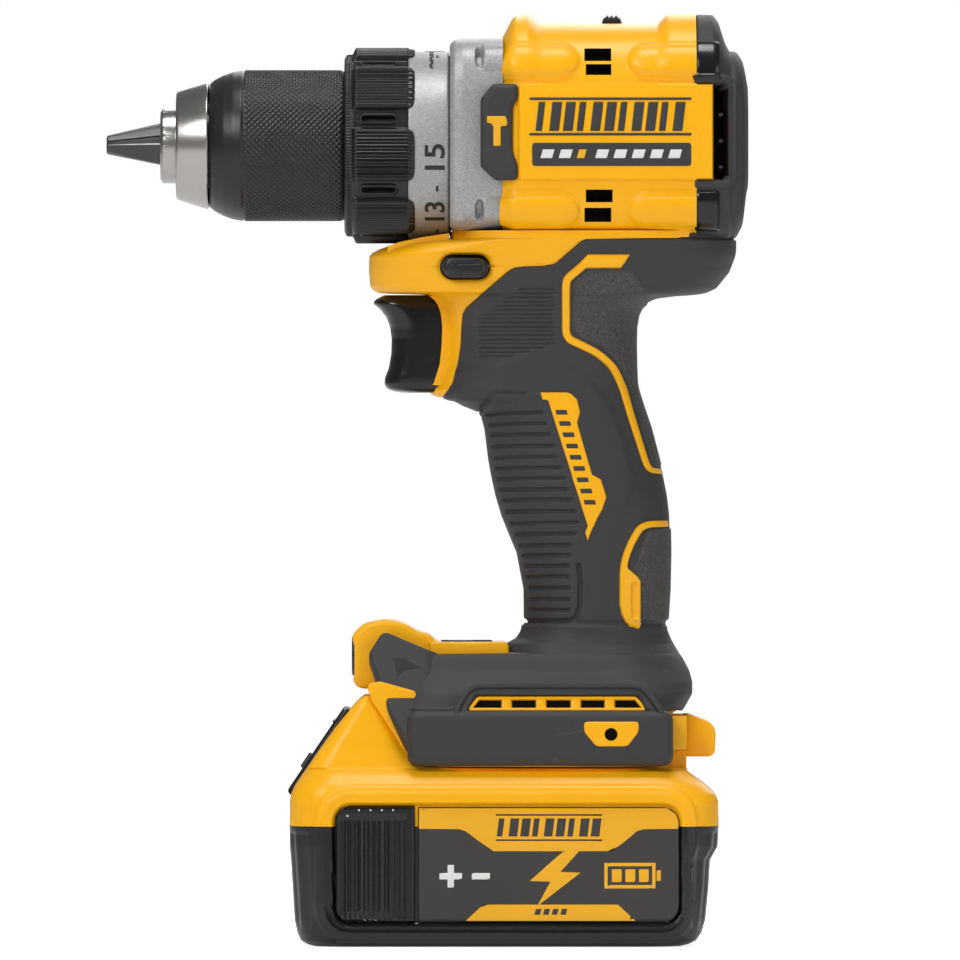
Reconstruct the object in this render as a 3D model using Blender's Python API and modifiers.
"""Cordless combi drill: clamshell tool, keyless chuck, planetary gearbox, brushless motor and slide-on battery.

Frame: origin at the centre of the battery's underside, +Z up, the chuck points along -X, and the
mid plane between the clamshell halves is Y = 0.  The tool's left side is -Y.
Every size below is in millimetres; MM turns it into Blender's metres where a mesh is made.
"""

from math import cos, pi, radians, sin, tan, atan2, hypot

import bmesh
import bpy
from mathutils import Matrix, Vector

MM = 0.001

# ---------------------------------------------------------------- driving sizes
GAP = 0.3                     # clearance between pieces that touch
SPLIT = 0.15                  # each clamshell half stops this far from the mid plane
AXIS_Z = 213.7                # height of the spindle axis

BATTERY_HALF_WIDTH = 37.0
BATTERY_SPLIT_Z = 32.0        # seam between the battery's base and top
BATTERY_DECK_Z = 47.3         # the battery's top face, under the foot
BATTERY_WALL = 2.2
RAIL_HALF_WIDTH = 24.5        # upper, wide part of the battery's rail block
RAIL_NECK_HALF_WIDTH = 20.5
RAIL_STEP_Z = 52.0
RAIL_TOP_Z = 61.2
RAIL_REAR_X = 48.6
RAIL_CLEARANCE = 0.5
CELL_RADIUS = 9.2             # 18650 cells lying across the battery
CELL_LENGTH = 65.0
CELL_PITCH = 19.4
CELL_COLUMNS = 5
CELL_ROW_Z = (12.4, 31.8)

RUBBER = 1.8                  # thickness of the overmoulded grip
WALL = 2.4                    # clamshell wall under the rubber
FOOT_BOTTOM_Z = 47.9
FOOT_HALF_WIDTH = 35.0
HANDLE_HALF_WIDTH = 17.0

BARREL_FRONT_X = 0.0
BARREL_REAR_X = 51.0
BARREL_HALF_WIDTH = 30.0
BARREL_TOP = 32.6             # above the spindle axis, between the two raised ends
BARREL_END_TOP = 35.4
BARREL_BOTTOM = 25.3
MOTOR_BAY_RADIUS = 25.5
MOTOR_BAY_FRONT_X = 9.5
MOTOR_BAY_REAR_X = 46.0
BUMPER_REAR_X = 65.3

CASE_FRONT_X = -14.5          # flat front of the gear case block
CASE_HALF_WIDTH = 27.5
CASE_TOP = 28.4
CASE_BOTTOM = 23.4
CASE_TUBE_RADIUS = 22.0
CASE_BORE_RADIUS = 19.3
CASE_WALL_X = (-27.5, -25.0)  # wall between the gears and the spindle's nose tube
NOSE_TUBE_RADIUS = 13.0
NOSE_TUBE_FRONT_X = -38.0

SPINDLE_RADIUS = 6.0
SPINDLE_BORE = 2.7
BEARING_BORE = SPINDLE_RADIUS + GAP
BEARING_RADIUS = 10.0
BEARING_X = (-36.0, -30.5)

CHUCK_TIP_X = -106.5
CHUCK_FACE_X = -92.0
CHUCK_REAR_X = -44.0
SLEEVE_RADIUS = 20.2
SLEEVE_FRONT_X = -79.0
SLEEVE_REAR_X = -41.2
SLEEVE_BORE = 17.4
SHANK_BORE = 6.8              # takes a 13 mm shank
JAW_RADIUS = 3.3
JAW_TIP_RADIUS = 2.9          # outer edge of the closed jaws at their tip
JAW_ANGLE = radians(13.0)     # the jaws slide along this slope
JAW_LENGTH = 27.0
JAW_CLEARANCE = 0.35
JAW_WAY_REAR_X = -49.4        # the jaws draw back this far when the chuck is fully open
NUT_X = (-73.0, -66.6)

COLLAR_X = (-42.7, -25.4)
COLLAR_RADIUS = 24.6
COLLAR_PAD_RADIUS = 26.1
COLLAR_BORE = 22.4
COLLAR_PADS = 8
COLLAR_PAD_ARC = radians(33.0)
SCALE_X = (-25.1, -14.8)
SCALE_RADIUS = 25.5

GEAR_MODULE = 0.9
SUN_TEETH = 12
PLANET_TEETH = 12
RING_TEETH = SUN_TEETH + 2 * PLANET_TEETH
PLANETS = 3
BACKLASH = 0.22               # taken off each tooth's width at the pitch circle
TOOTH_HEIGHT = 0.8            # addendum, in modules
TOOTH_DEPTH = 1.15            # dedendum, in modules
PRESSURE_ANGLE = radians(20.0)
PLANET_PIN_RADIUS = 1.7
PLANET_WIDTH = 5.6
FIRST_STAGE_X = -10.1         # front face of the first stage's planets
SECOND_STAGE_X = -19.0
CARRIER_THICKNESS = 2.0
CARRIER_RADIUS = 14.4
STAGE_GAP = 0.4

TRIGGER_HALF_WIDTH = 7.8
SELECTOR_X = (25.8, 31.8)

YELLOW = (0.95, 0.50, 0.01)
GRAPHITE = (0.045, 0.045, 0.048)
BLACK = (0.015, 0.015, 0.016)
STEEL = (0.55, 0.55, 0.56)
DARK_STEEL = (0.18, 0.18, 0.19)
CAST_SILVER = (0.52, 0.53, 0.55)
COPPER = (0.60, 0.27, 0.12)
GREEN = (0.03, 0.18, 0.07)
RED = (0.45, 0.02, 0.02)
CLEAR = (0.85, 0.88, 0.90)


# ---------------------------------------------------------------- scene helpers
def clear_scene():
    for obj in list(bpy.data.objects):
        bpy.data.objects.remove(obj)


def collection(name):
    made = bpy.data.collections.new(name)
    bpy.context.scene.collection.children.link(made)
    return made


clear_scene()
DRILL = collection("cordless_drill")
CUTTERS = collection("cutters")


def material(name, colour, roughness=0.5, metallic=0.0):
    found = bpy.data.materials.get(name)
    if found:
        return found
    made = bpy.data.materials.new(name)
    made.use_nodes = True
    shader = made.node_tree.nodes["Principled BSDF"]
    shader.inputs["Base Color"].default_value = (*colour, 1.0)
    shader.inputs["Roughness"].default_value = roughness
    shader.inputs["Metallic"].default_value = metallic
    return made


FINISHES = {
    "yellow": (YELLOW, 0.42, 0.0),
    "rubber": (GRAPHITE, 0.75, 0.0),
    "black": (BLACK, 0.45, 0.0),
    "steel": (STEEL, 0.28, 1.0),
    "dark_steel": (DARK_STEEL, 0.35, 1.0),
    "cast": (CAST_SILVER, 0.45, 0.8),
    "copper": (COPPER, 0.35, 1.0),
    "board": (GREEN, 0.5, 0.0),
    "red": (RED, 0.5, 0.0),
    "clear": (CLEAR, 0.1, 0.0),
}


def as_part(obj, finish):
    """Keeps obj as a piece of the drill, in the drill's collection."""
    CUTTERS.objects.unlink(obj)
    DRILL.objects.link(obj)
    obj.hide_render = False
    obj.display_type = "TEXTURED"
    obj.data.materials.clear()
    obj.data.materials.append(material(finish, *FINISHES[finish]))
    return obj


def as_helper(name, mesh):
    """A mesh object that only cuts or shapes others."""
    obj = bpy.data.objects.new(name, mesh)
    CUTTERS.objects.link(obj)
    obj.hide_render = True
    obj.display_type = "WIRE"
    return obj


def mesh_object(name, bm):
    mesh = bpy.data.meshes.new(name)
    bm.to_mesh(mesh)
    bm.free()
    mesh.shade_smooth()
    mesh.set_sharp_from_angle(angle=radians(35))
    return as_helper(name, mesh)


def box(name, low, high):
    """A cuboid between two corners."""
    bm = bmesh.new()
    bmesh.ops.create_cube(bm, size=1.0)
    size = [(b - a) * MM for a, b in zip(low, high)]
    centre = Vector([(a + b) / 2 * MM for a, b in zip(low, high)])
    bmesh.ops.scale(bm, vec=size, verts=bm.verts)
    bmesh.ops.translate(bm, vec=centre, verts=bm.verts)
    return mesh_object(name, bm)


def rod(name, radius, start, end, sides=16, end_radius=None):
    """A cylinder or cone from one point to another."""
    bm = bmesh.new()
    a, b = Vector(start) * MM, Vector(end) * MM
    bmesh.ops.create_cone(bm, cap_ends=True, segments=sides, radius1=radius * MM,
                          radius2=(radius if end_radius is None else end_radius) * MM, depth=(b - a).length)
    turn = (b - a).to_track_quat("Z", "Y").to_matrix().to_4x4()
    bmesh.ops.transform(bm, matrix=Matrix.Translation((a + b) / 2) @ turn, verts=bm.verts)
    bmesh.ops.triangulate(bm, faces=bm.faces)
    return mesh_object(name, bm)


def rounded(corners, steps=3):
    """Turns corners (u, v, radius) into an outline whose corners are arcs."""
    outline = []
    count = len(corners)
    for i, (u, v, radius) in enumerate(corners):
        if radius <= 0:
            outline.append((u, v))
            continue
        corner = Vector((u, v))
        before = (Vector(corners[i - 1][:2]) - corner).normalized()
        after = (Vector(corners[(i + 1) % count][:2]) - corner).normalized()
        half = before.angle(after) / 2
        centre = corner + (before + after).normalized() * radius / sin(half)
        first = corner + before * radius / tan(half) - centre
        last = corner + after * radius / tan(half) - centre
        turn = first.angle_signed(last)
        for k in range(steps + 1):
            angle = atan2(first.y, first.x) - turn * k / steps
            outline.append((centre.x + radius * cos(angle), centre.y + radius * sin(angle)))
    return outline


def ring_of(radius, count, start=0.0):
    return [(radius * cos(start + 2 * pi * k / count), radius * sin(start + 2 * pi * k / count))
            for k in range(count)]


def flat(name, outlines, thickness, basis):
    """A flat outline, with any holes as further outlines, thickened about its own plane.

    basis is the matrix that carries the curve's XY plane and its normal into the model."""
    curve = bpy.data.curves.new(name, "CURVE")
    curve.dimensions = "2D"
    curve.fill_mode = "BOTH"
    curve.extrude = thickness / 2 * MM
    for outline in outlines:
        spline = curve.splines.new("POLY")
        spline.points.add(len(outline) - 1)
        for point, (u, v) in zip(spline.points, outline):
            point.co = (u * MM, v * MM, 0, 1)
        spline.use_cyclic_u = True
    drawn = bpy.data.objects.new(name + "_outline", curve)
    CUTTERS.objects.link(drawn)
    drawn.matrix_world = basis
    bpy.context.view_layer.update()
    mesh = bpy.data.meshes.new_from_object(drawn.evaluated_get(bpy.context.evaluated_depsgraph_get()))
    mesh.transform(basis)
    bpy.data.objects.remove(drawn)
    bm = bmesh.new()
    bm.from_mesh(mesh)
    bpy.data.meshes.remove(mesh)
    bmesh.ops.remove_doubles(bm, verts=bm.verts, dist=1e-6)
    bmesh.ops.recalc_face_normals(bm, faces=bm.faces)
    return mesh_object(name, bm)


def side_plate(name, outline, half_width, centre_y=0.0, holes=()):
    """An outline drawn in X and Z, thickened along Y."""
    basis = Matrix(((1, 0, 0, 0), (0, 0, -1, centre_y * MM), (0, 1, 0, 0), (0, 0, 0, 1)))
    return flat(name, [outline, *holes], 2 * half_width, basis)


def cross_plate(name, outline, span, holes=(), centre=(0.0, AXIS_Z)):
    """An outline drawn in Y and Z about centre, thickened along X over span."""
    middle = (span[0] + span[1]) / 2
    basis = Matrix(((0, 0, 1, middle * MM), (1, 0, 0, centre[0] * MM), (0, 1, 0, centre[1] * MM), (0, 0, 0, 1)))
    return flat(name, [outline, *holes], span[1] - span[0], basis)


def top_plate(name, outline, span):
    """An outline drawn in X and Y, thickened along Z over span."""
    return flat(name, [outline], span[1] - span[0], Matrix.Translation((0, 0, (span[0] + span[1]) / 2 * MM)))


def turned(name, profile, closed=False, steps=24):
    """A profile of (x, radius) points, run along the outside from -X to +X, turned about the spindle axis."""
    mesh = bpy.data.meshes.new(name)
    points = [(x * MM, 0.0, r * MM) for x, r in profile]
    edges = [(i, i + 1) for i in range(len(points) - 1)]
    if closed:
        edges.append((len(points) - 1, 0))
    mesh.from_pydata(points, edges, [])
    obj = as_helper(name, mesh)
    obj.location.z = AXIS_Z * MM
    screw = obj.modifiers.new("turn", "SCREW")
    screw.axis = "X"
    screw.steps = screw.render_steps = steps
    screw.use_merge_vertices = True
    screw.merge_threshold = 1e-6
    screw.use_normal_flip = True
    return obj


def loft(name, rings):
    """A closed skin through rings that all have the same number of points, with flat ends."""
    bm = bmesh.new()
    rows = [[bm.verts.new(Vector(p) * MM) for p in ring] for ring in rings]
    count = len(rows[0])
    for lower, upper in zip(rows, rows[1:]):
        for k in range(count):
            bm.faces.new((lower[k], lower[(k + 1) % count], upper[(k + 1) % count], upper[k]))
    bm.faces.new(reversed(rows[0]))
    bm.faces.new(rows[-1])
    bmesh.ops.recalc_face_normals(bm, faces=bm.faces)
    bmesh.ops.triangulate(bm, faces=bm.faces)
    return mesh_object(name, bm)


def power_point(angle, power):
    """A point on the unit superellipse, which is a circle at power 2 and squarer above."""
    c, s = cos(angle), sin(angle)
    return abs(c) ** (2 / power) * (1 if c >= 0 else -1), abs(s) ** (2 / power) * (1 if s >= 0 else -1)


def level_section(z, front, back, half_width, power=2.8, count=16):
    """A horizontal superellipse section from x = front to x = back."""
    ring = []
    for k in range(count):
        u, v = power_point(2 * pi * k / count, power)
        ring.append(((front + back) / 2 + (back - front) / 2 * u, half_width * v, z))
    return ring


def barrel_section(x, half_width, top, bottom, count=20):
    """An upright superellipse section about the spindle axis, squarer and shallower below the axis than above."""
    ring = []
    for k in range(count):
        angle = 2 * pi * k / count
        u, v = power_point(angle, 3.2 if angle < pi else 4.5)
        ring.append((x, half_width * u, AXIS_Z + (top if v > 0 else bottom) * v))
    return ring


def change(obj, other, operation):
    """Adds a live Boolean of other to obj."""
    cut = obj.modifiers.new(operation.lower(), "BOOLEAN")
    cut.operation = operation
    cut.object = other
    cut.solver = "EXACT"
    return obj


def cut(obj, *others):
    for other in others:
        change(obj, other, "DIFFERENCE")
    return obj


def join(obj, *others):
    for other in others:
        change(obj, other, "UNION")
    return obj


def bevel(obj, width, segments=2, angle=30):
    rounding = obj.modifiers.new("bevel", "BEVEL")
    rounding.width = width * MM
    rounding.segments = segments
    rounding.limit_method = "ANGLE"
    rounding.angle_limit = radians(angle)
    return obj


def on_joint(name, pivot, *objects):
    """Parents objects to an empty on their joint's axis."""
    empty = bpy.data.objects.new(name, None)
    DRILL.objects.link(empty)
    empty.location = Vector(pivot) * MM
    for obj in objects:
        obj.location = obj.location - empty.location
        obj.parent = empty
    return empty


# ---------------------------------------------------------------- outer forms of the tool
# Handle sections: height, front, back, half width.
HANDLE = [
    (76.0, 2.0, 47.4, HANDLE_HALF_WIDTH + 3.0),
    (80.0, 2.5, 45.0, HANDLE_HALF_WIDTH + 1.0),
    (85.0, 6.4, 43.2, HANDLE_HALF_WIDTH),
    (95.0, 6.3, 43.9, HANDLE_HALF_WIDTH),
    (105.0, 4.3, 44.1, HANDLE_HALF_WIDTH),
    (115.0, 0.2, 43.8, HANDLE_HALF_WIDTH + 0.2),
    (125.0, -2.4, 42.0, HANDLE_HALF_WIDTH + 0.5),
    (135.0, -3.9, 39.7, HANDLE_HALF_WIDTH + 0.6),
    (142.5, -6.4, 37.4, HANDLE_HALF_WIDTH + 0.4),
    (146.4, -18.4, 36.3, HANDLE_HALF_WIDTH),
    (150.0, -18.8, 35.4, HANDLE_HALF_WIDTH),
    (158.0, -16.8, 34.9, HANDLE_HALF_WIDTH + 0.5),
    (167.0, -16.8, 35.4, HANDLE_HALF_WIDTH + 2.0),
    (172.0, -19.0, 38.2, HANDLE_HALF_WIDTH + 4.0),
    (174.0, -35.3, 51.0, HANDLE_HALF_WIDTH + 4.5),
    (179.0, -36.1, 59.6, HANDLE_HALF_WIDTH + 5.6),
    (184.0, -36.0, 61.4, HANDLE_HALF_WIDTH + 6.6),
    (186.0, -30.5, 61.6, HANDLE_HALF_WIDTH + 7.0),
    (187.4, -22.5, 61.8, HANDLE_HALF_WIDTH + 7.3),
    (187.9, -14.4, 61.8, HANDLE_HALF_WIDTH + 7.4),
    (188.1, -14.1, 50.4, HANDLE_HALF_WIDTH + 7.5),
    (189.2, -13.9, 50.0, HANDLE_HALF_WIDTH + 7.6),
    (189.7, 2.0, 49.5, HANDLE_HALF_WIDTH + 7.7),
    (196.0, 3.0, 49.0, HANDLE_HALF_WIDTH + 8.0),
]
SHELF_TOP_Z = 188.0           # where the grip's rubber ends under the motor

# Foot sections: height, front, back, half width.
FOOT_BAND_TOP_Z = 61.5
FOOT = [
    (FOOT_BOTTOM_Z, -23.6, 43.6, FOOT_HALF_WIDTH - 1.4),
    (50.0, -25.6, 44.8, FOOT_HALF_WIDTH),
    (FOOT_BAND_TOP_Z, -28.8, 44.9, FOOT_HALF_WIDTH),
    (63.0, -31.0, 47.4, FOOT_HALF_WIDTH - 4.0),
    (67.0, -33.5, 50.1, FOOT_HALF_WIDTH - 6.0),
    (72.0, -35.8, 49.3, FOOT_HALF_WIDTH - 9.5),
    (77.5, -36.4, 46.8, FOOT_HALF_WIDTH - 15.0),
    (79.8, -16.0, 45.4, FOOT_HALF_WIDTH - 17.0),
]


def handle_form(name, inset):
    """The handle with the shelf under the motor, taken in by inset all round."""
    return loft(name, [level_section(z, front + inset, back - inset, width - inset)
                       for z, front, back, width in HANDLE])


def foot_form(name, inset, floor_z=FOOT_BOTTOM_Z, roof=0.0):
    """The foot, taken in by inset at its sides and by roof at its top."""
    rings = []
    for i, (z, front, back, width) in enumerate(FOOT):
        level = floor_z if i == 0 else z - roof
        rings.append(level_section(level, front + inset, back - inset, width - inset, power=5.0, count=20))
    return loft(name, rings)


def lamp_nose_form(name, half_width=13.0):
    """The raised nose at the front of the foot, which carries the work lamp."""
    outline = rounded([(-16.5, 78.0, 0), (-17.0, 80.8, 1.5), (-19.5, 83.0, 1.5), (-26.0, 85.4, 3), (-31.5, 87.2, 4),
                       (-37.0, 85.9, 2), (-40.6, 83.0, 1.5), (-40.2, 69.0, 2), (-36.0, 68.2, 0), (-30.0, 70.0, 0)])
    return side_plate(name, outline, half_width)


def rubber_zone(name, shrink):
    """The area, seen from the side, that the grip rubber covers. shrink draws its edges back from the yellow ones."""
    s = shrink
    outline = [
        (70.0, SHELF_TOP_Z - s), (22.0 + s, SHELF_TOP_Z - s), (12.9 + s, 181.1 - s), (3.9 + s, 181.1 - s),
        (-11.2 + s, 169.2 - s), (-11.7 + s, 160.0), (-12.7 + s, 155.0), (-16.2 + s, 146.9 - s), (-16.5, 140.0),
        (-9.0, 90.0), (-1.0 + s, 80.2), (0.8 + s, 79.8), (0.3 + s, 76.9 - s), (-16.4, 76.9 - s), (-31.4, 83.4 - s),
        (-36.3 + s, 77.7), (-30.6 + s, 62.0), (-25.9 + s, 54.0), (-25.0 + s, 46.0), (70.0, 46.0),
    ]
    return side_plate(name, outline, 45.0)


def barrel_form(name, inset=0.0):
    stations = [
        (BARREL_FRONT_X, BARREL_HALF_WIDTH - 2.5, 29.0, BARREL_BOTTOM - 1.0),
        (2.6, BARREL_HALF_WIDTH, BARREL_END_TOP - 0.7, BARREL_BOTTOM),
        (6.2, BARREL_HALF_WIDTH, BARREL_END_TOP, BARREL_BOTTOM),
        (9.6, BARREL_HALF_WIDTH, BARREL_TOP, BARREL_BOTTOM),
        (41.0, BARREL_HALF_WIDTH, BARREL_TOP, BARREL_BOTTOM),
        (43.8, BARREL_HALF_WIDTH, BARREL_END_TOP, BARREL_BOTTOM),
        (BARREL_REAR_X, BARREL_HALF_WIDTH, BARREL_END_TOP, BARREL_BOTTOM),
    ]
    return loft(name, [barrel_section(x, w - inset, t - inset, b - inset) for x, w, t, b in stations])


# ---------------------------------------------------------------- shared cutters
FOOT_SLOT_X = [(-8.4, -0.8), (2.1, 8.4), (11.2, 17.5), (20.4, 26.6), (29.5, 36.6)]
FOOT_SLOT_Z = (63.2, 65.4)
DIRECTION_OUTLINE = rounded([(-16.6, 178.0, 2.79), (-4.2, 178.0, 2.79), (-4.2, 183.6, 2.79), (-16.6, 183.6, 2.79)])


def grown(outline, centre, by):
    """An outline moved away from centre by a distance along each axis."""
    return [(u + by * (1 if u > centre[0] else -1), v + by * (1 if v > centre[1] else -1)) for u, v in outline]


def battery_channel():
    """The T-shaped slot through the foot that the battery's rail block slides in."""
    neck, wide = RAIL_NECK_HALF_WIDTH + RAIL_CLEARANCE, RAIL_HALF_WIDTH + RAIL_CLEARANCE
    step, top = RAIL_STEP_Z - RAIL_CLEARANCE, RAIL_TOP_Z + RAIL_CLEARANCE
    outline = [(-neck, 30.0), (neck, 30.0), (neck, step), (wide, step + 0.3), (wide, top), (-wide, top),
               (-wide, step + 0.3), (-neck, step)]
    return cross_plate("battery_channel", outline, (-60.0, 70.0), centre=(0.0, 0.0))


def foot_slots():
    return [box(f"foot_slot_{k}", (a, -50.0, FOOT_SLOT_Z[0]), (b, 50.0, FOOT_SLOT_Z[1]))
            for k, (a, b) in enumerate(FOOT_SLOT_X)]


trigger_pocket = box("trigger_pocket", (-45.0, -TRIGGER_HALF_WIDTH - 0.4, 147.0),
                     (-1.2, TRIGGER_HALF_WIDTH + 0.4, 174.3))
channel = battery_channel()
terminal_pocket = box("terminal_pocket", (-14.0, -22.5, 60.0), (42.0, 22.5, 69.5))
board_pocket = box("board_pocket", (2.8, -15.0, 66.0), (41.6, 15.0, 77.0))
slots = foot_slots()
direction_hole = side_plate("direction_hole", grown(DIRECTION_OUTLINE, (-10.4, 180.8), 0.35), 50.0)
handle_bay = handle_form("handle_bay", RUBBER + GAP + WALL)
handle_skin = handle_form("handle_skin", RUBBER + GAP)
handle_outer = handle_form("handle_outer", 0.0)
foot_skin = foot_form("foot_skin", RUBBER + GAP, floor_z=46.0, roof=RUBBER + GAP)
foot_outer = foot_form("foot_outer", 0.0)
bay_floor = box("bay_floor", (-60.0, -60.0, 30.0), (80.0, 60.0, 68.0))
bay_roof = box("bay_roof", (-60.0, -60.0, 185.4), (80.0, 60.0, 230.0))
bay_front = box("bay_front", (-60.0, -60.0, 175.6), (-21.0, 60.0, 231.0))


# ---------------------------------------------------------------- clamshell and grip
GEAR_SCREWS = [(y, z) for y in (-19.5, 19.5) for z in (23.2, -18.0)]
HOUSING_SCREWS = [(30.0, 166.5), (13.0, 113.0), (32.5, 78.5), (-28.0, 77.6)]
SIDE_VENT_X = (21.4, 28.4)
SIDE_VENT_Z = [(235.9, 238.9), (232.2, 234.6), (198.2, 201.1), (193.1, 196.4)]
BADGE_OUTLINE = rounded([(-6.3, 226.4, 0), (-3.4, 229.5, 0), (3.6, 229.5, 0.6), (3.6, 225.4, 0), (2.3, 223.4, 0),
                         (2.3, 210.6, 0), (3.8, 208.0, 0), (3.8, 204.1, 0.6), (-2.6, 204.1, 0), (-6.3, 207.6, 0)])
BADGE_SHELF = CASE_HALF_WIDTH + GAP
BADGE_THICKNESS = 3.0


def housing_screw_holes():
    """Clearance holes, with a counterbore on the right, for the screws that close the clamshell."""
    made = []
    for k, (x, z) in enumerate(HOUSING_SCREWS):
        made.append(rod(f"screw_hole_{k}", 1.9, (x, -8.0, z), (x, 50.0, z), 8))
        made.append(rod(f"screw_sink_{k}", 3.6, (x, 8.0, z), (x, 50.0, z), 12))
    return made


def whole_housing():
    """The yellow clamshell before it is split: barrel, nose, handle core, foot core and lamp nose."""
    shell = barrel_form("housing_whole")
    join(shell, handle_outer, foot_outer, lamp_nose_form("lamp_nose"))
    pocket = cut(rubber_zone("rubber_pocket", 0.0), join(handle_skin, foot_skin, lamp_nose_form("lamp_core", 11.0)))
    cut(shell, pocket)
    bay = cut(handle_bay, bay_floor, bay_roof, bay_front)
    cut(shell, bay)
    cut(shell, rod("motor_bay", MOTOR_BAY_RADIUS, (MOTOR_BAY_FRONT_X, 0, AXIS_Z), (MOTOR_BAY_REAR_X, 0, AXIS_Z), 24))
    cut(shell, rod("front_seat", 8.3, (4.5, 0, AXIS_Z), (MOTOR_BAY_FRONT_X + 1, 0, AXIS_Z), 20))
    cut(shell, rod("shaft_hole", 7.6, (-5.0, 0, AXIS_Z), (5.0, 0, AXIS_Z), 16))
    cut(shell, rod("rear_seat", 6.8, (MOTOR_BAY_REAR_X - 1, 0, AXIS_Z), (49.4, 0, AXIS_Z), 16))
    cut(shell, rod("rear_hole", 4.2, (49.0, 0, AXIS_Z), (55.0, 0, AXIS_Z), 12))
    cut(shell, box("lead_passage", (12.0, -8.0, 182.0), (30.0, 8.0, 193.0)))
    cut(shell, channel, terminal_pocket, board_pocket, trigger_pocket, direction_hole, *slots)
    cut(shell, box("selector_slot", (18.4, -3.6, 236.0), (33.2, 3.6, 252.0)))
    for k, (low, high) in enumerate(SIDE_VENT_Z):
        cut(shell, box(f"side_vent_{k}", (SIDE_VENT_X[0], -45.0, low), (SIDE_VENT_X[1], 45.0, high)))
    for k, (y, z) in enumerate(GEAR_SCREWS):
        cut(shell, rod(f"case_screw_hole_{k}", 1.9, (-3.0, y, AXIS_Z + z), (8.6, y, AXIS_Z + z), 10))
    cut(shell, badge_recess(-1), badge_recess(1))
    cut(shell, rod("lamp_bore", 4.6, (-45.0, 0, 77.5), (-33.0, 0, 77.5), 20))
    cut(shell, rod("lamp_lead", 2.0, (-34.0, 0, 77.5), (-8.0, 0, 77.5), 10))
    cut(shell, box("light_slot", (-17.5, -2.6, 76.0), (-1.5, 2.6, 80.5)))
    cut(shell, *housing_screw_holes())
    for side in (-1, 1):
        cut(shell, rod(f"hook_hole_{side}", 1.7, (28.4, 26.0 * side, 56.4), (28.4, 45.0 * side, 56.4), 12))
    return shell


def badge_recess(side):
    """Room for the impact badge beside the gear case, on one side."""
    return side_plate(f"badge_recess_{side}", grown(BADGE_OUTLINE, (-1.2, 216.8), GAP + 0.1), 6.0,
                      side * (BADGE_SHELF + 6.0 - GAP))


def whole_grip():
    """The rubber grip before it is split."""
    skin = rubber_zone("grip_whole", GAP)
    body = join(handle_form("grip_body", 0.0), foot_outer)
    change(skin, body, "INTERSECT")
    inner_foot = foot_form("grip_foot_inner", RUBBER, floor_z=45.5, roof=RUBBER)
    cut(skin, join(handle_form("grip_inner", RUBBER), inner_foot, lamp_nose_form("grip_nose_inner", 11.0 + GAP)))
    cut(skin, trigger_pocket, channel, *slots)
    for side in (-1, 1):
        cut(skin, rod(f"hook_window_{side}", 2.6, (28.4, 26.0 * side, 56.4), (28.4, 45.0 * side, 56.4), 14))
    for k, (x, z) in enumerate(HOUSING_SCREWS[:3]):
        cut(skin, rod(f"grip_screw_window_{k}", 4.2, (x, 8.0, z), (x, 50.0, z), 12))
    return skin


def half(name, whole, side, finish):
    """The half of a whole body on one side of the mid plane: -1 is the tool's left."""
    low, high = sorted((side * SPLIT, side * 60.0))
    block = box(name, (-70.0, low, 20.0), (90.0, high, 270.0))
    change(block, whole, "INTERSECT")
    return as_part(block, finish)


def build_shells():
    housing, grip = whole_housing(), whole_grip()
    for side, label in ((-1, "left"), (1, "right")):
        half(f"housing_{label}", housing, side, "yellow")
        half(f"grip_{label}", grip, side, "rubber")


def build_rear_bumper():
    stations = [
        (BARREL_REAR_X + GAP, 29.6, 35.2, BARREL_BOTTOM),
        (56.0, 29.4, 34.9, BARREL_BOTTOM),
        (59.4, 28.2, 26.8, BARREL_BOTTOM),
        (62.4, 27.2, 25.0, 24.8),
        (64.3, 24.0, 20.5, 21.0),
        (BUMPER_REAR_X, 17.0, 14.0, 14.0),
    ]
    bumper = loft("rear_bumper", [barrel_section(x, w, t, b) for x, w, t, b in stations])
    cut(bumper, rod("bumper_bore", 23.6, (48.0, 0, AXIS_Z), (61.6, 0, AXIS_Z), 20))
    cut(bumper, box("bumper_side_vent", (55.6, -45.0, 204.6), (59.2, 45.0, 229.2)))
    for k in range(4):
        z = AXIS_Z - 9.0 + 6.0 * k
        cut(bumper, box(f"bumper_rear_vent_{k}", (60.0, -11.0, z - 1.2), (70.0, 11.0, z + 1.2)))
    return as_part(bumper, "rubber")


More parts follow.
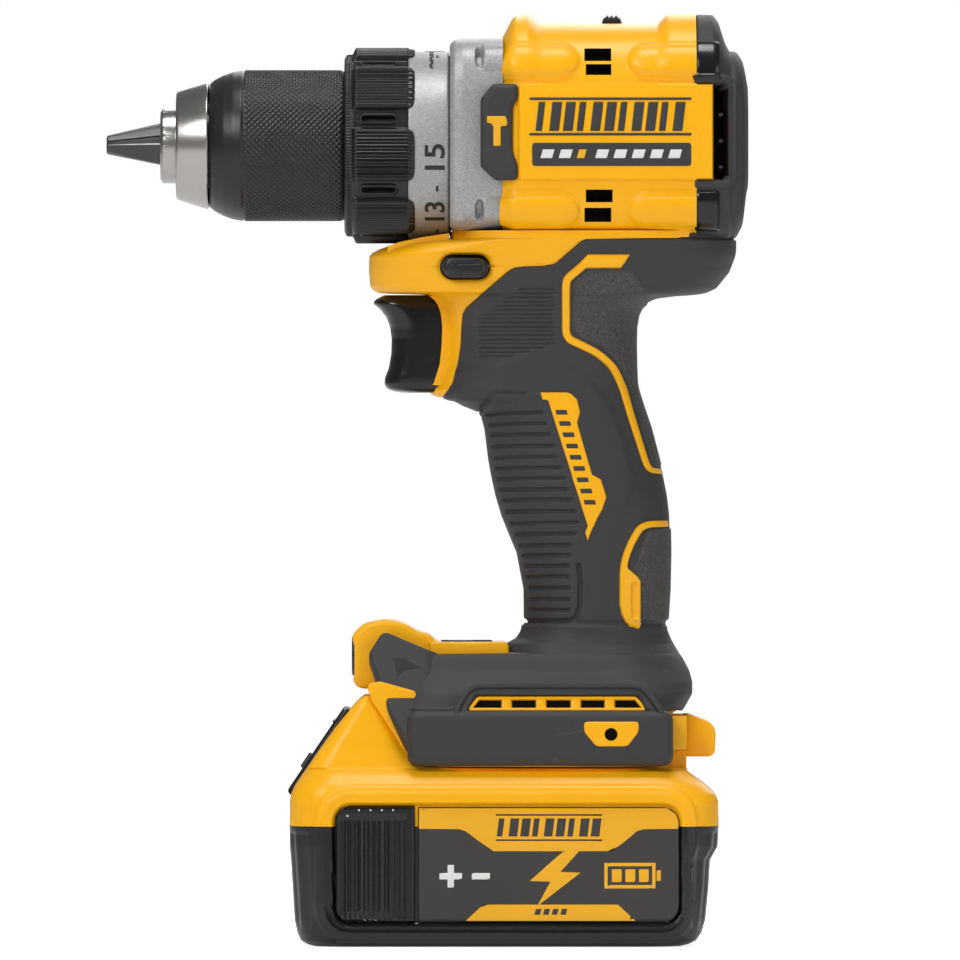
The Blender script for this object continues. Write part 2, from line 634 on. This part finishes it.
def build_gear_case():
    w, t, b = CASE_HALF_WIDTH, CASE_TOP, CASE_BOTTOM
    outline = rounded([(-w, -b, 9), (w, -b, 9), (w, t, 12), (-w, t, 12)], 4)
    case = cross_plate("gear_case", outline, (CASE_FRONT_X, BARREL_FRONT_X - GAP))
    join(case, rod("case_tube", CASE_TUBE_RADIUS, (CASE_WALL_X[0], 0, AXIS_Z), (-8.0, 0, AXIS_Z), 32))
    join(case, rod("nose_tube", NOSE_TUBE_RADIUS, (NOSE_TUBE_FRONT_X, 0, AXIS_Z), (CASE_WALL_X[1], 0, AXIS_Z), 24))
    cut(case, rod("gear_bore", CASE_BORE_RADIUS, (CASE_WALL_X[1], 0, AXIS_Z), (5.0, 0, AXIS_Z), 32))
    cut(case, rod("spindle_hole", SPINDLE_RADIUS + 0.8, (-31.0, 0, AXIS_Z), (-20.0, 0, AXIS_Z), 20))
    cut(case, rod("bearing_seat", BEARING_RADIUS + GAP, (-45.0, 0, AXIS_Z), (BEARING_X[1] + GAP, 0, AXIS_Z), 24))
    for k, (y, z) in enumerate(GEAR_SCREWS):
        height = AXIS_Z + z
        cut(case, rod(f"head_sink_{k}", 3.4, (-20.0, y, height), (-6.0, y, height), 12))
        cut(case, rod(f"shank_hole_{k}", 1.9, (-8.0, y, height), (5.0, y, height), 10))
    as_part(case, "cast")
    for k, (y, z) in enumerate(GEAR_SCREWS):
        height = AXIS_Z + z
        screw = rod(f"gear_case_screw_{k + 1}", 1.6, (-6.5, y, height), (8.0, y, height), 8)
        join(screw, rod(f"gear_screw_head_{k}", 3.0, (-8.7, y, height), (-6.3, y, height), 12))
        cut(screw, rod(f"gear_screw_drive_{k}", 1.3, (-9.5, y, height), (-7.4, y, height), 6))
        as_part(screw, "black")


def build_badges():
    for side, label in ((-1, "left"), (1, "right")):
        centre = side * (BADGE_SHELF + BADGE_THICKNESS / 2)
        as_part(side_plate(f"impact_badge_{label}", BADGE_OUTLINE, BADGE_THICKNESS / 2, centre), "rubber")


def build_housing_screws():
    for k, (x, z) in enumerate(HOUSING_SCREWS):
        screw = rod(f"housing_screw_{k + 1}", 1.6, (x, -7.5, z), (x, 8.6, z), 8)
        join(screw, rod(f"screw_head_{k}", 3.2, (x, 8.4, z), (x, 10.8, z), 12))
        cut(screw, rod(f"screw_drive_{k}", 1.4, (x, 9.4, z), (x, 12.0, z), 6))
        as_part(screw, "dark_steel")


# ---------------------------------------------------------------- gears
def tooth_half_width(teeth, radius, sign=1):
    """Half a tooth's width at a radius: straight flanks at the pressure angle through the pitch circle."""
    pitch = GEAR_MODULE * teeth / 2
    return pi * GEAR_MODULE / 4 - BACKLASH / 2 + sign * (pitch - radius) * tan(PRESSURE_ANGLE)


def gear_outline(teeth, phase):
    pitch = GEAR_MODULE * teeth / 2
    root, tip = pitch - TOOTH_DEPTH * GEAR_MODULE, pitch + TOOTH_HEIGHT * GEAR_MODULE
    outline = []
    for k in range(teeth):
        middle = phase + 2 * pi * k / teeth
        for radius, side in ((root, -1), (tip, -1), (tip, 1), (root, 1)):
            angle = middle + side * tooth_half_width(teeth, radius) / radius
            outline.append((radius * cos(angle), radius * sin(angle)))
    return outline


def ring_gear_outline(teeth, phase):
    """The inward teeth of a ring gear."""
    pitch = GEAR_MODULE * teeth / 2
    root, tip = pitch + TOOTH_DEPTH * GEAR_MODULE, pitch - TOOTH_HEIGHT * GEAR_MODULE
    outline = []
    for k in range(teeth):
        middle = phase + 2 * pi * k / teeth
        for radius, side in ((root, -1), (tip, -1), (tip, 1), (root, 1)):
            angle = middle + side * tooth_half_width(teeth, radius, sign=-1) / radius
            outline.append((radius * cos(angle), radius * sin(angle)))
    return outline


PLANET_ORBIT = GEAR_MODULE * (SUN_TEETH + PLANET_TEETH) / 2
RING_PHASE = pi / RING_TEETH if PLANET_TEETH % 2 else 0.0


def planet_place(k):
    angle = pi / 2 + 2 * pi * k / PLANETS
    return angle, PLANET_ORBIT * cos(angle), PLANET_ORBIT * sin(angle)


def planet_phase(angle):
    """The turn at which a planet on this bearing meshes with a sun whose first tooth points along +Y."""
    return angle + pi + (SUN_TEETH * angle - pi) / PLANET_TEETH


def planet(name, k, front_x):
    angle, y, z = planet_place(k)
    gear = cross_plate(name, gear_outline(PLANET_TEETH, planet_phase(angle)), (front_x, front_x + PLANET_WIDTH),
                       holes=[ring_of(PLANET_PIN_RADIUS + 0.12, 12)], centre=(y, AXIS_Z + z))
    return as_part(gear, "dark_steel")


def ring_gear(name, span):
    rim = ring_of(CASE_BORE_RADIUS - 2 * GAP, 24)
    ring = cross_plate(name, rim, span, holes=[ring_gear_outline(RING_TEETH, RING_PHASE)])
    return as_part(ring, "dark_steel")


def planet_pins(name, front_x, rear_x):
    pins = []
    for k in range(PLANETS):
        _, y, z = planet_place(k)
        pins.append(rod(f"{name}_pin_{k}", PLANET_PIN_RADIUS, (front_x, y, AXIS_Z + z), (rear_x, y, AXIS_Z + z), 12))
    return pins


def build_gear_train():
    """Two planetary stages. The second stage's carrier is the output spindle."""
    first_back = FIRST_STAGE_X + PLANET_WIDTH
    ring_gear("ring_gear", (FIRST_STAGE_X - 0.2, first_back + 0.2))
    shift_ring = ring_gear("shift_ring_gear", (SECOND_STAGE_X - 0.2, SECOND_STAGE_X + PLANET_WIDTH + 0.2))
    on_joint("shift_axis", (0, 0, AXIS_Z), shift_ring)

    disc = (FIRST_STAGE_X - STAGE_GAP - CARRIER_THICKNESS, FIRST_STAGE_X - STAGE_GAP)
    carrier = rod("first_carrier", CARRIER_RADIUS, (disc[0], 0, AXIS_Z), (disc[1], 0, AXIS_Z), 24)
    join(carrier, cross_plate("second_sun", gear_outline(SUN_TEETH, 0.0), (SECOND_STAGE_X + 0.3, disc[0] + 0.8)))
    join(carrier, *planet_pins("first", disc[0] + 0.5, first_back))
    as_part(carrier, "dark_steel")
    on_joint("first_carrier_axis", (0, 0, AXIS_Z), carrier)

    for stage, front_x in ((1, FIRST_STAGE_X), (2, SECOND_STAGE_X)):
        for k in range(PLANETS):
            _, y, z = planet_place(k)
            gear = planet(f"stage_{stage}_planet_{k + 1}", k, front_x)
            on_joint(f"stage_{stage}_planet_{k + 1}_axis", (0, y, AXIS_Z + z), gear)


def build_spindle():
    disc = (SECOND_STAGE_X - STAGE_GAP - CARRIER_THICKNESS, SECOND_STAGE_X - STAGE_GAP)
    spindle = rod("output_spindle", SPINDLE_RADIUS, (-54.0, 0, AXIS_Z), (disc[1] - 0.5, 0, AXIS_Z), 20)
    join(spindle, rod("spindle_disc", CARRIER_RADIUS, (disc[0], 0, AXIS_Z), (disc[1], 0, AXIS_Z), 24))
    join(spindle, *planet_pins("second", disc[0] + 0.5, SECOND_STAGE_X + PLANET_WIDTH))
    cut(spindle, rod("spindle_bore", SPINDLE_BORE, (-60.0, 0, AXIS_Z), (-44.5, 0, AXIS_Z), 12))
    as_part(spindle, "steel")
    bearing = turned("spindle_bearing", [(BEARING_X[0], BEARING_BORE), (BEARING_X[0], BEARING_RADIUS),
                                         (BEARING_X[1], BEARING_RADIUS), (BEARING_X[1], BEARING_BORE)], True, 20)
    as_part(bearing, "steel")
    return spindle


def build_clutch_spring():
    """The spring that loads the torque clutch, wound round the gear case's nose tube."""
    turns, per_turn, wire, radius = 4, 10, 0.9, 16.6
    front, rear = -37.6, -28.8
    curve = bpy.data.curves.new("clutch_spring", "CURVE")
    curve.dimensions = "3D"
    curve.bevel_depth = wire * MM
    curve.bevel_resolution = 1
    curve.use_fill_caps = True
    spline = curve.splines.new("POLY")
    count = turns * per_turn + 1
    spline.points.add(count - 1)
    for k, point in enumerate(spline.points):
        angle = 2 * pi * k / per_turn
        x = front + (rear - front) * k / (count - 1)
        point.co = (x * MM, radius * cos(angle) * MM, radius * sin(angle) * MM, 1)
    spring = bpy.data.objects.new("clutch_spring", curve)
    CUTTERS.objects.link(spring)
    spring.location.z = AXIS_Z * MM
    as_part(spring, "steel")


# ---------------------------------------------------------------- chuck
def jaw_line(x):
    """Distance from the spindle axis to the jaws' outer edge at x."""
    return JAW_TIP_RADIUS + (x - CHUCK_TIP_X) * tan(JAW_ANGLE)


def jaw_rod(name, k, radius, start_x, end_x, sides=12):
    """A cylinder along jaw k's slide, between two planes across the spindle axis."""
    angle = pi / 2 + 2 * pi * k / 3
    drop = JAW_RADIUS / cos(JAW_ANGLE)
    ends = []
    for x in (start_x, end_x):
        r = jaw_line(x) - drop
        ends.append((x, r * cos(angle), AXIS_Z + r * sin(angle)))
    return rod(name, radius, *ends, sides)


def jaw(k):
    """A jaw: a slanted rod with a 120 degree inner edge and a flat tip."""
    angle = pi / 2 + 2 * pi * k / 3
    piece = jaw_rod(f"jaw_{k + 1}", k, JAW_RADIUS, CHUCK_TIP_X - 6.0, CHUCK_TIP_X + JAW_LENGTH)
    bm = bmesh.new()
    bm.from_mesh(piece.data)
    centre = Vector((0, 0, AXIS_Z * MM))
    for side in (-1, 1):
        flank = angle + side * (pi / 2 - pi / 3)
        inward = Vector((0, -cos(flank), -sin(flank)))
        point = centre - inward * 0.12 * MM
        cut_open(bm, point, inward)
    cut_open(bm, Vector((CHUCK_TIP_X * MM, 0, 0)), Vector((-1, 0, 0)))
    bm.to_mesh(piece.data)
    bm.free()
    return as_part(piece, "dark_steel")


def cut_open(bm, point, normal):
    """Removes what lies on the normal's side of a plane, and caps the cut."""
    whole = bm.verts[:] + bm.edges[:] + bm.faces[:]
    found = bmesh.ops.bisect_plane(bm, geom=whole, plane_co=point, plane_no=normal, clear_outer=True, dist=1e-7)
    edges = [e for e in found["geom_cut"] if isinstance(e, bmesh.types.BMEdge)]
    bmesh.ops.contextual_create(bm, geom=edges)
    bmesh.ops.recalc_face_normals(bm, faces=bm.faces)


def build_chuck():
    body = turned("chuck_body", [
        (CHUCK_FACE_X, 0.0), (CHUCK_FACE_X, 9.0), (-91.2, 10.1), (-87.6, 10.1), (-87.6, 11.4), (NUT_X[0] - 0.6, 11.4),
        (NUT_X[0] - 0.6, 11.0), (NUT_X[1] + 0.6, 11.0), (NUT_X[1] + 0.6, 16.6), (CHUCK_REAR_X - 1.2, 16.6),
        (CHUCK_REAR_X, 15.4), (CHUCK_REAR_X, 0.0)])
    cut(body, rod("shank_bore", SHANK_BORE, (-95.0, 0, AXIS_Z), (-57.0, 0, AXIS_Z), 24))
    cut(body, rod("screw_way", SPINDLE_BORE + 0.3, (-60.0, 0, AXIS_Z), (-50.0, 0, AXIS_Z), 12))
    cut(body, rod("spindle_socket", SPINDLE_RADIUS + GAP, (-54.4, 0, AXIS_Z), (-40.0, 0, AXIS_Z), 20))
    for k in range(3):
        cut(body, jaw_rod(f"jaw_way_{k}", k, JAW_RADIUS + JAW_CLEARANCE, CHUCK_FACE_X - 3.0, JAW_WAY_REAR_X))
    as_part(body, "steel")

    nose = turned("chuck_nose_ring", [
        (-88.0, 11.8), (-88.0, 13.6), (-87.3, 14.5), (-79.6, 17.1), (-79.4, 16.6), (-79.4, 11.8)], True)
    as_part(nose, "steel")

    screw = rod("chuck_screw", 2.3, (-57.5, 0, AXIS_Z), (-45.5, 0, AXIS_Z), 10)
    join(screw, rod("chuck_screw_head", 4.6, (-59.4, 0, AXIS_Z), (-57.2, 0, AXIS_Z), 14))
    as_part(screw, "dark_steel")

    sleeve = turned("chuck_sleeve", [
        (SLEEVE_FRONT_X, 12.0), (SLEEVE_FRONT_X, 15.9), (-78.2, 17.1), (-76.4, 18.3), (-73.8, 19.5), (-70.4, 20.1),
        (-69.5, SLEEVE_RADIUS), (SLEEVE_REAR_X, SLEEVE_RADIUS), (SLEEVE_REAR_X, SLEEVE_BORE), (-75.4, SLEEVE_BORE),
        (-76.6, 15.6), (-76.6, 12.0)], True)
    as_part(sleeve, "black")

    nut = turned("chuck_nut", [
        (NUT_X[0], jaw_line(NUT_X[0]) + 0.6), (NUT_X[0], SLEEVE_BORE - GAP), (NUT_X[1], SLEEVE_BORE - GAP),
        (NUT_X[1], jaw_line(NUT_X[1]) + 0.6)], True)
    as_part(nut, "dark_steel")

    axis = (0, 0, AXIS_Z)
    on_joint("chuck_axis", axis, body, nose, screw, build_spindle())
    on_joint("sleeve_axis", axis, sleeve, nut)
    for k in range(3):
        on_joint(f"jaw_{k + 1}_slide", axis, jaw(k))


def build_clutch_collar():
    collar = turned("clutch_collar", [
        (COLLAR_X[0], SLEEVE_RADIUS + 0.5), (COLLAR_X[0], COLLAR_RADIUS - 0.8), (COLLAR_X[0] + 0.8, COLLAR_RADIUS),
        (COLLAR_X[1], COLLAR_RADIUS), (COLLAR_X[1], COLLAR_BORE), (COLLAR_X[0] + 2.4, COLLAR_BORE),
        (COLLAR_X[0] + 2.4, SLEEVE_RADIUS + 0.5)], True)
    outline = []
    for k in range(COLLAR_PADS):
        middle = pi + radians(7.0) + 2 * pi * k / COLLAR_PADS
        for share in (-0.5, -0.25, 0.0, 0.25, 0.5):
            angle = middle + COLLAR_PAD_ARC * share
            outline.append((COLLAR_PAD_RADIUS * cos(angle), COLLAR_PAD_RADIUS * sin(angle)))
        for share in (-0.5, 0.5):
            angle = middle + pi / COLLAR_PADS + (2 * pi / COLLAR_PADS - COLLAR_PAD_ARC) * 0.4 * share
            outline.append((COLLAR_RADIUS * cos(angle), COLLAR_RADIUS * sin(angle)))
    core = ring_of(COLLAR_BORE + 0.8, 24)
    join(collar, cross_plate("collar_pads", outline, (-39.2, COLLAR_X[1] - 0.2), holes=[core]))
    as_part(collar, "black")
    scale = turned("clutch_scale", [
        (SCALE_X[0], COLLAR_BORE), (SCALE_X[0], SCALE_RADIUS), (SCALE_X[1], SCALE_RADIUS), (SCALE_X[1], COLLAR_BORE)],
        True)
    as_part(scale, "cast")
    on_joint("collar_axis", (0, 0, AXIS_Z), collar, scale)


# ---------------------------------------------------------------- motor
def build_motor():
    teeth = 6
    inner = []
    for k in range(teeth):
        middle = 2 * pi * k / teeth
        for radius, share in ((19.0, -0.36), (14.6, -0.40), (14.6, 0.0), (14.6, 0.40), (19.0, 0.36)):
            angle = middle + share * 2 * pi / teeth
            inner.append((radius * cos(angle), radius * sin(angle)))
    stator = cross_plate("stator", ring_of(22.6, 24), (13.0, 37.0), holes=[inner])
    as_part(stator, "copper")

    rotor = rod("rotor", 2.5, (FIRST_STAGE_X, 0, AXIS_Z), (49.0, 0, AXIS_Z), 12)
    join(rotor, rod("rotor_core", 13.8, (13.5, 0, AXIS_Z), (36.5, 0, AXIS_Z), 24))
    join(rotor, rod("fan_disc", 20.0, (43.6, 0, AXIS_Z), (44.8, 0, AXIS_Z), 24))
    for k in range(7):
        angle = 2 * pi * k / 7
        blade = box(f"fan_blade_{k}", (39.4, 8.0, -0.6), (44.0, 19.0, 0.6))
        blade.data.transform(Matrix.Translation((0, 0, AXIS_Z * MM)) @ Matrix.Rotation(angle, 4, "X"))
        join(rotor, blade)
    sun = cross_plate("first_sun", gear_outline(SUN_TEETH, 0.0), (FIRST_STAGE_X + 0.3, FIRST_STAGE_X + PLANET_WIDTH))
    join(rotor, sun)
    as_part(rotor, "dark_steel")
    on_joint("rotor_axis", (0, 0, AXIS_Z), rotor)

    for name, span, radius in (("motor_bearing_front", (4.9, 9.2), 8.0), ("motor_bearing_rear", (46.4, 49.0), 6.4)):
        bearing = turned(name, [(span[0], 2.8), (span[0], radius), (span[1], radius), (span[1], 2.8)], True, 16)
        as_part(bearing, "steel")


# ---------------------------------------------------------------- controls
def build_controls():
    outline = rounded([
        (-8.0, 172.8, 1.5), (-31.5, 173.4, 0), (-35.0, 172.0, 0.4), (-32.9, 169.8, 0), (-31.2, 167.3, 0),
        (-30.3, 164.2, 0), (-30.1, 160.0, 0), (-30.4, 155.5, 0), (-31.2, 152.4, 0), (-32.1, 149.8, 0),
        (-31.2, 147.6, 1.4), (-27.5, 147.5, 0), (-20.0, 148.8, 0), (-8.0, 150.2, 1.5)])
    trigger = side_plate("trigger", outline, TRIGGER_HALF_WIDTH)
    bevel(trigger, 1.6, 2, 50)
    stem = rod("trigger_stem", 2.2, (-8.6, 0, 164.0), (-1.6, 0, 164.0), 10)
    join(trigger, stem)
    as_part(trigger, "black")
    on_joint("trigger_slide", (-20.0, 0, 161.0), trigger)

    bar = side_plate("direction_bar", DIRECTION_OUTLINE, 26.6)
    as_part(bar, "black")
    on_joint("direction_slide", (-10.4, 0, 180.8), bar)

    selector = box("speed_selector", (SELECTOR_X[0], -6.0, 246.6), (SELECTOR_X[1], 6.0, 248.4))
    bevel(selector, 0.5, 1)
    join(selector, box("selector_stem", (SELECTOR_X[0] + 1.2, -3.0, 241.5), (SELECTOR_X[1] - 1.2, 3.0, 247.0)))
    as_part(selector, "black")
    on_joint("selector_slide", (28.8, 0, 247.0), selector)

    knob = top_plate("light_switch", rounded([(-15.0, -4.5, 1), (-8.0, -4.5, 1), (-8.0, 4.5, 1), (-15.0, 4.5, 1)]),
                     (80.1, 81.2))
    join(knob, box("light_switch_stem", (-13.6, -2.0, 78.0), (-9.4, 2.0, 80.6)))
    as_part(knob, "black")
    on_joint("light_switch_slide", (-11.5, 0, 80.5), knob)


def build_electrics():
    switch = box("trigger_switch", (5.6, -9.0, 153.0), (25.0, 9.0, 172.0))
    join(switch, rod("switch_nose", 4.0, (5.2, 0, 164.0), (6.6, 0, 164.0), 12))
    as_part(switch, "black")
    as_part(box("control_board", (4.0, -14.0, 71.0), (40.0, 14.0, 73.0)), "board")
    block = box("terminal_block", (22.0, -21.8, 62.2), (41.0, 21.8, 66.5))
    for k, y in enumerate((-20.6, -16.4, 16.4, 20.6)):
        join(block, box(f"blade_{k}", (26.0, y - 0.4, 56.0), (40.0, y + 0.4, 63.0)))
    as_part(block, "black")
    as_part(rod("lamp_lens", 4.2, (-40.3, 0, 77.5), (-34.4, 0, 77.5), 20), "clear")
    for name, y, finish in (("battery_lead_red", -5.0, "red"), ("battery_lead_black", 5.0, "black")):
        lead(name, y, finish)


def lead(name, y, finish):
    """A lead inside the handle, from the control board up to the switch."""
    route = [(22.0, y, 73.6), (22.0, y, 80.0), (23.0, y, 90.0), (23.0, y, 104.0), (20.5, y, 118.0), (17.5, y, 132.0),
             (15.6, y, 143.0), (15.0, y, 152.6)]
    curve = bpy.data.curves.new(name, "CURVE")
    curve.dimensions = "3D"
    curve.bevel_depth = 1.1 * MM
    curve.bevel_resolution = 1
    curve.use_fill_caps = True
    spline = curve.splines.new("POLY")
    points = smooth(route, 13)
    spline.points.add(len(points) - 1)
    for point, place in zip(spline.points, points):
        point.co = (*[c * MM for c in place], 1)
    obj = bpy.data.objects.new(name, curve)
    CUTTERS.objects.link(obj)
    as_part(obj, finish)


def smooth(route, count):
    """Points on a smooth curve through the route's own points (a Catmull-Rom spline)."""
    places = [Vector(p) for p in route]
    padded = [2 * places[0] - places[1], *places, 2 * places[-1] - places[-2]]
    made = []
    for k in range(count):
        s = k / (count - 1) * (len(places) - 1)
        i = min(int(s), len(places) - 2)
        t = s - i
        a, b, c, d = padded[i:i + 4]
        made.append(0.5 * (2 * b + (c - a) * t + (2 * a - 5 * b + 4 * c - d) * t * t
                           + (3 * b - a - 3 * c + d) * t ** 3))
    return made


# ---------------------------------------------------------------- battery
BATTERY_TOP_SECTIONS = [
    (BATTERY_SPLIT_Z + GAP, -57.0, 57.0, BATTERY_HALF_WIDTH),
    (40.0, -57.0, 57.0, BATTERY_HALF_WIDTH - 0.4),
    (44.5, -54.0, 54.5, BATTERY_HALF_WIDTH - 3.0),
    (BATTERY_DECK_Z, -50.0, 49.0, BATTERY_HALF_WIDTH - 6.5),
]
BATTERY_BASE_SECTIONS = [
    (0.0, -51.0, 47.5, BATTERY_HALF_WIDTH - 4.0),
    (2.0, -54.0, 50.5, BATTERY_HALF_WIDTH - 1.5),
    (6.0, -56.0, 53.5, BATTERY_HALF_WIDTH),
    (22.0, -56.8, 55.0, BATTERY_HALF_WIDTH),
    (27.0, -57.2, 57.2, BATTERY_HALF_WIDTH),
    (BATTERY_SPLIT_Z, -57.2, 57.2, BATTERY_HALF_WIDTH),
]


def battery_form(name, sections, inset=0.0):
    rings = [level_section(z, a + inset, b - inset, w - inset, power=7.0, count=20) for z, a, b, w in sections]
    return loft(name, rings)


def build_battery():
    wall = BATTERY_WALL
    top = battery_form("battery_top", BATTERY_TOP_SECTIONS)
    nose = rounded([(-56.6, 38.0, 0), (-56.2, 42.3, 2), (-47.5, 55.0, 5), (-41.0, 62.0, 4), (-36.6, 66.4, 1),
                    (-30.4, 57.4, 0), (-26.4, 50.9, 0), (-24.0, 46.0, 0), (-30.0, 38.0, 0)])
    join(top, side_plate("battery_nose", nose, 27.0))
    neck, wide = RAIL_NECK_HALF_WIDTH, RAIL_HALF_WIDTH
    rail = [(-neck, 40.0), (neck, 40.0), (neck, RAIL_STEP_Z), (wide, RAIL_STEP_Z + 0.3), (wide, RAIL_TOP_Z),
            (-wide, RAIL_TOP_Z), (-wide, RAIL_STEP_Z + 0.3), (-neck, RAIL_STEP_Z)]
    join(top, cross_plate("rail_block", rail, (-22.0, RAIL_REAR_X), centre=(0.0, 0.0)))
    cut(top, box("cell_bay_top", (-50.5, -33.5, 20.0), (50.5, 33.5, CELL_ROW_Z[1] + CELL_RADIUS + 0.6)))
    cut(top, box("board_bay", (-47.0, -29.5, 30.0), (46.0, 29.5, BATTERY_DECK_Z - wall - 0.6)))
    for k, y in enumerate((-20.6, -16.4, 16.4, 20.6)):
        cut(top, box(f"blade_slot_{k}", (22.0, y - 1.0, 55.0), (60.0, y + 1.0, 70.0)))
    cut(top, box("latch_pocket", (44.2, -13.6, 46.0), (60.0, 13.6, 70.0)))
    cut(top, gauge_cutter())
    as_part(top, "yellow")

    base = battery_form("battery_base", BATTERY_BASE_SECTIONS)
    cut(base, box("cell_bay_base", (-51.0, -33.8, wall), (49.2, 33.8, 60.0)))
    as_part(base, "black")

    pack = box("cell_pack", (-48.5, -2.0, CELL_ROW_Z[0] - 9.0), (48.5, 2.0, CELL_ROW_Z[1] + 9.0))
    for column in range(CELL_COLUMNS):
        for row, z in enumerate(CELL_ROW_Z):
            x = (column - (CELL_COLUMNS - 1) / 2) * CELL_PITCH
            join(pack, rod(f"cell_{column}_{row}", CELL_RADIUS, (x, -CELL_LENGTH / 2, z), (x, CELL_LENGTH / 2, z), 8))
    as_part(pack, "steel")
    board = as_part(box("battery_board", (-20.0, -24.0, 42.2), (40.0, 24.0, 43.6)), "board")

    latch = side_plate("battery_latch", rounded([
        (44.8, 61.0, 0), (44.8, 50.2, 0), (55.4, 50.2, 1), (56.4, 51.6, 0.6), (56.7, 57.2, 1), (55.0, 59.6, 1),
        (49.6, 61.0, 0)]), 13.0)
    as_part(latch, "yellow")
    gauge, button = build_gauge()
    on_joint("battery_slide", (0, 0, BATTERY_DECK_Z), top, base, pack, board, gauge)
    on_joint("latch_slide", (50.0, 0, 56.0), latch)
    on_joint("gauge_press", (-50.0, 0, 52.0), button)


GAUGE_FOOT = (-56.6, 41.4)    # lower and upper ends of the fuel gauge on the battery's sloping nose
GAUGE_HEAD = (-42.6, 60.6)


def gauge_frame():
    """Start point, direction along the slope and outward normal of the fuel gauge, in X and Z."""
    dx, dz = GAUGE_HEAD[0] - GAUGE_FOOT[0], GAUGE_HEAD[1] - GAUGE_FOOT[1]
    length = hypot(dx, dz)
    return Vector(GAUGE_FOOT), Vector((dx, dz)) / length, Vector((-dz, dx)) / length, length


def slope_slab(name, start, end, depth, height, half_width):
    """A slab on the nose's slope, between two distances along it, from depth below it to height above."""
    foot, along, out, _ = gauge_frame()
    reach = ((start, -depth), (end, -depth), (end, height), (start, height))
    corners = [foot + along * a + out * b for a, b in reach]
    return side_plate(name, [tuple(c) for c in corners], half_width)


def gauge_cutter():
    length = gauge_frame()[3]
    return slope_slab("gauge_recess", 0.8, length - 0.8, 1.2, 10.0, 14.4)


def build_gauge():
    length = gauge_frame()[3]
    panel = slope_slab("fuel_gauge", 1.2, length - 1.2, 0.9, 0.9, 14.0)
    cut(panel, slope_slab("gauge_button_hole", 2.8, 7.4, 0.2, 5.0, 4.6))
    as_part(panel, "black")
    button = slope_slab("gauge_button", 3.1, 7.1, -0.5, 1.3, 4.3)
    as_part(button, "black")
    return panel, button


build_shells()
build_rear_bumper()
build_gear_case()
build_badges()
build_housing_screws()
build_gear_train()
build_clutch_spring()
build_chuck()
build_clutch_collar()
build_motor()
build_controls()
build_electrics()
build_battery()
